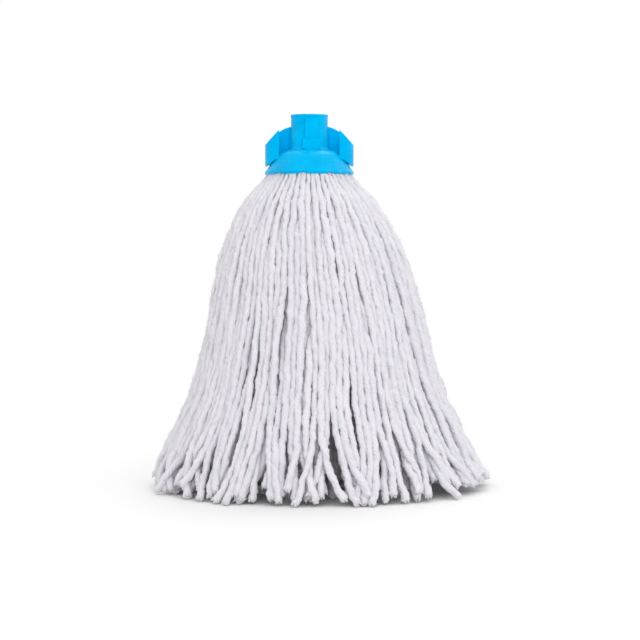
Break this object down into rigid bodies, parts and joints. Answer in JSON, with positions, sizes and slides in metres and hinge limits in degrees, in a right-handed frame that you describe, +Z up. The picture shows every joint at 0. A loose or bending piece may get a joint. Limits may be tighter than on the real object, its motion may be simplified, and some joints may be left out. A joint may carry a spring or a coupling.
{
  "type": "string mop head",
  "caption": "Round string mop head: a blue screw-on plastic socket with finger wings and a full skirt of soft white cotton strings.",
  "frame": {"origin": "on the floor, under the centre of the skirt and on the axis of the neck", "axes": "+Z up along the neck, -Y towards the viewer's front, the two wings at +X and -X"},
  "size_m": [0.292, 0.292, 0.3136],
  "materials": {
    "blue_plastic": "moulded gloss, cyan blue",
    "cotton_yarn": "soft twisted cotton, off-white",
    "zinc_steel": "zinc-plated steel"
  },
  "bodies": {
    "mop_head": {"socket_cap": "blue_plastic", "clamp_plug": "blue_plastic", "plug_washer": "zinc_steel", "plug_screw": "zinc_steel", "folded_strings": "cotton_yarn", "inner_strings_1": "cotton_yarn", "inner_strings_2": "cotton_yarn", "inner_strings_3": "cotton_yarn", "inner_strings_4": "cotton_yarn", "inner_strings_5": "cotton_yarn", "inner_strings_6": "cotton_yarn"},
    "string_tuft_1": {"outer_strings_1": "cotton_yarn"},
    "string_tuft_2": {"outer_strings_2": "cotton_yarn"},
    "string_tuft_3": {"outer_strings_3": "cotton_yarn"},
    "string_tuft_4": {"outer_strings_4": "cotton_yarn"},
    "string_tuft_5": {"outer_strings_5": "cotton_yarn"},
    "string_tuft_6": {"outer_strings_6": "cotton_yarn"},
    "string_tuft_7": {"outer_strings_7": "cotton_yarn"},
    "string_tuft_8": {"outer_strings_8": "cotton_yarn"},
    "string_tuft_9": {"outer_strings_9": "cotton_yarn"},
    "string_tuft_10": {"outer_strings_10": "cotton_yarn"},
    "string_tuft_11": {"outer_strings_11": "cotton_yarn"},
    "string_tuft_12": {"outer_strings_12": "cotton_yarn"}
  },
  "joints": [
    {"name": "strings_swing_1", "type": "hinge", "parent": "mop_head", "child": "string_tuft_1", "pos_m": [0.036, 0, 0.262], "axis": [0, -1, 0], "range_deg": [0, 65]},
    {"name": "strings_swing_2", "type": "hinge", "parent": "mop_head", "child": "string_tuft_2", "pos_m": [0.03118, 0.018, 0.262], "axis": [0.5, -0.866, 0], "range_deg": [0, 65]},
    {"name": "strings_swing_3", "type": "hinge", "parent": "mop_head", "child": "string_tuft_3", "pos_m": [0.018, 0.03118, 0.262], "axis": [0.866, -0.5, 0], "range_deg": [0, 65]},
    {"name": "strings_swing_4", "type": "hinge", "parent": "mop_head", "child": "string_tuft_4", "pos_m": [0, 0.036, 0.262], "axis": [1, 0, 0], "range_deg": [0, 65]},
    {"name": "strings_swing_5", "type": "hinge", "parent": "mop_head", "child": "string_tuft_5", "pos_m": [-0.018, 0.03118, 0.262], "axis": [0.866, 0.5, 0], "range_deg": [0, 65]},
    {"name": "strings_swing_6", "type": "hinge", "parent": "mop_head", "child": "string_tuft_6", "pos_m": [-0.03118, 0.018, 0.262], "axis": [0.5, 0.866, 0], "range_deg": [0, 65]},
    {"name": "strings_swing_7", "type": "hinge", "parent": "mop_head", "child": "string_tuft_7", "pos_m": [-0.036, 0, 0.262], "axis": [0, 1, 0], "range_deg": [0, 65]},
    {"name": "strings_swing_8", "type": "hinge", "parent": "mop_head", "child": "string_tuft_8", "pos_m": [-0.03118, -0.018, 0.262], "axis": [-0.5, 0.866, 0], "range_deg": [0, 65]},
    {"name": "strings_swing_9", "type": "hinge", "parent": "mop_head", "child": "string_tuft_9", "pos_m": [-0.018, -0.03118, 0.262], "axis": [-0.866, 0.5, 0], "range_deg": [0, 65]},
    {"name": "strings_swing_10", "type": "hinge", "parent": "mop_head", "child": "string_tuft_10", "pos_m": [0, -0.036, 0.262], "axis": [-1, 0, 0], "range_deg": [0, 65]},
    {"name": "strings_swing_11", "type": "hinge", "parent": "mop_head", "child": "string_tuft_11", "pos_m": [0.018, -0.03118, 0.262], "axis": [-0.866, -0.5, 0], "range_deg": [0, 65]},
    {"name": "strings_swing_12", "type": "hinge", "parent": "mop_head", "child": "string_tuft_12", "pos_m": [0.03118, -0.018, 0.262], "axis": [-0.5, -0.866, 0], "range_deg": [0, 65]}
  ]
}
